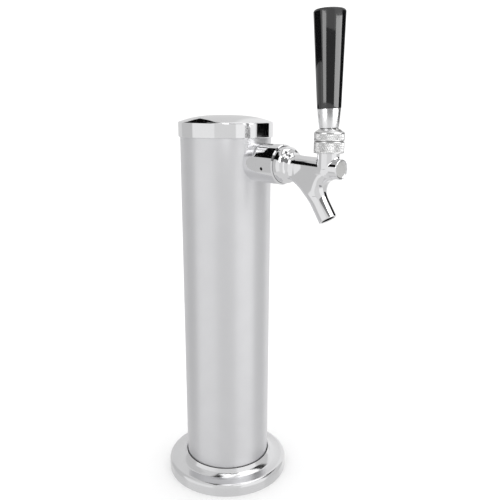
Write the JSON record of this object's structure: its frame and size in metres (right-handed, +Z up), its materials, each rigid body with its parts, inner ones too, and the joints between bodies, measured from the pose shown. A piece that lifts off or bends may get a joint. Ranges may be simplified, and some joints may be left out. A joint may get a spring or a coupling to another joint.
{
  "type": "beer tap tower",
  "caption": "Counter-top beer tower: a round stainless column on a flanged base with a domed cap, a chrome faucet and a black tap handle.",
  "frame": {"origin": "centre of the underside of the base, on the column axis", "axes": "+Z up the column, -Y out of the column along the faucet, +X to the right of someone who faces +Y from the faucet side"},
  "size_m": [0.1106, 0.175, 0.3985],
  "materials": {
    "black_rubber": "matte",
    "zinc_steel": "satin",
    "satin_stainless": "satin",
    "foam": "matte",
    "polished_stainless": "polished",
    "chrome_cap": "polished",
    "chrome_faucet": "polished",
    "chrome_knurl": "satin",
    "chrome_ferrule": "gloss",
    "plated_steel": "satin",
    "lever_steel": "satin",
    "brass": "satin",
    "white_plastic": "matte",
    "black_handle": "gloss"
  },
  "bodies": {
    "tower": {"base_gasket": "black_rubber", "base_flange": "zinc_steel", "column_rivets": "zinc_steel", "column_tube": "satin_stainless", "insulation_sleeve": "foam", "shank_collar": "chrome_faucet", "shank_body": "plated_steel", "inner_saddle": "zinc_steel", "shank_locknut": "brass", "coupling_nut": "chrome_faucet", "coupling_washer": "black_rubber", "tailpiece_washer": "black_rubber", "tailpiece_nut": "plated_steel", "elbow_tailpiece": "plated_steel", "faucet_body": "chrome_faucet", "ball_washer": "white_plastic", "friction_washer": "white_plastic", "bonnet_nut": "chrome_knurl", "lever_collar": "chrome_knurl"},
    "trim": {"trim_ring": "polished_stainless"},
    "cap": {"top_cap": "chrome_cap"},
    "lever_arm": {"lever": "lever_steel", "handle_ferrule": "chrome_ferrule", "handle_insert": "brass", "tap_handle": "black_handle"},
    "plunger": {"shaft": "lever_steel", "seat_washer": "black_rubber", "shaft_nut": "brass"}
  },
  "joints": [
    {"name": "lever_tilt", "type": "hinge", "parent": "tower", "child": "lever_arm", "pos_m": [0, -0.1077, 0.304], "axis": [1, 0, 0], "range_deg": [0, 24]},
    {"name": "plunger_slide", "type": "slide", "parent": "tower", "child": "plunger", "axis": [0, 1, 0], "range_m": [0, 0.0056]},
    {"name": "cap_lift", "type": "slide", "parent": "tower", "child": "cap", "axis": [0, 0, 1], "range_m": [0, 0.03]},
    {"name": "trim_ring_lift", "type": "slide", "parent": "tower", "child": "trim", "axis": [0, 0, 1], "range_m": [0, 0.25]}
  ],
  "couplings": [
    {"joint": "plunger_slide", "follows": "lever_tilt", "m_per_rad": 0.012916}
  ]
}
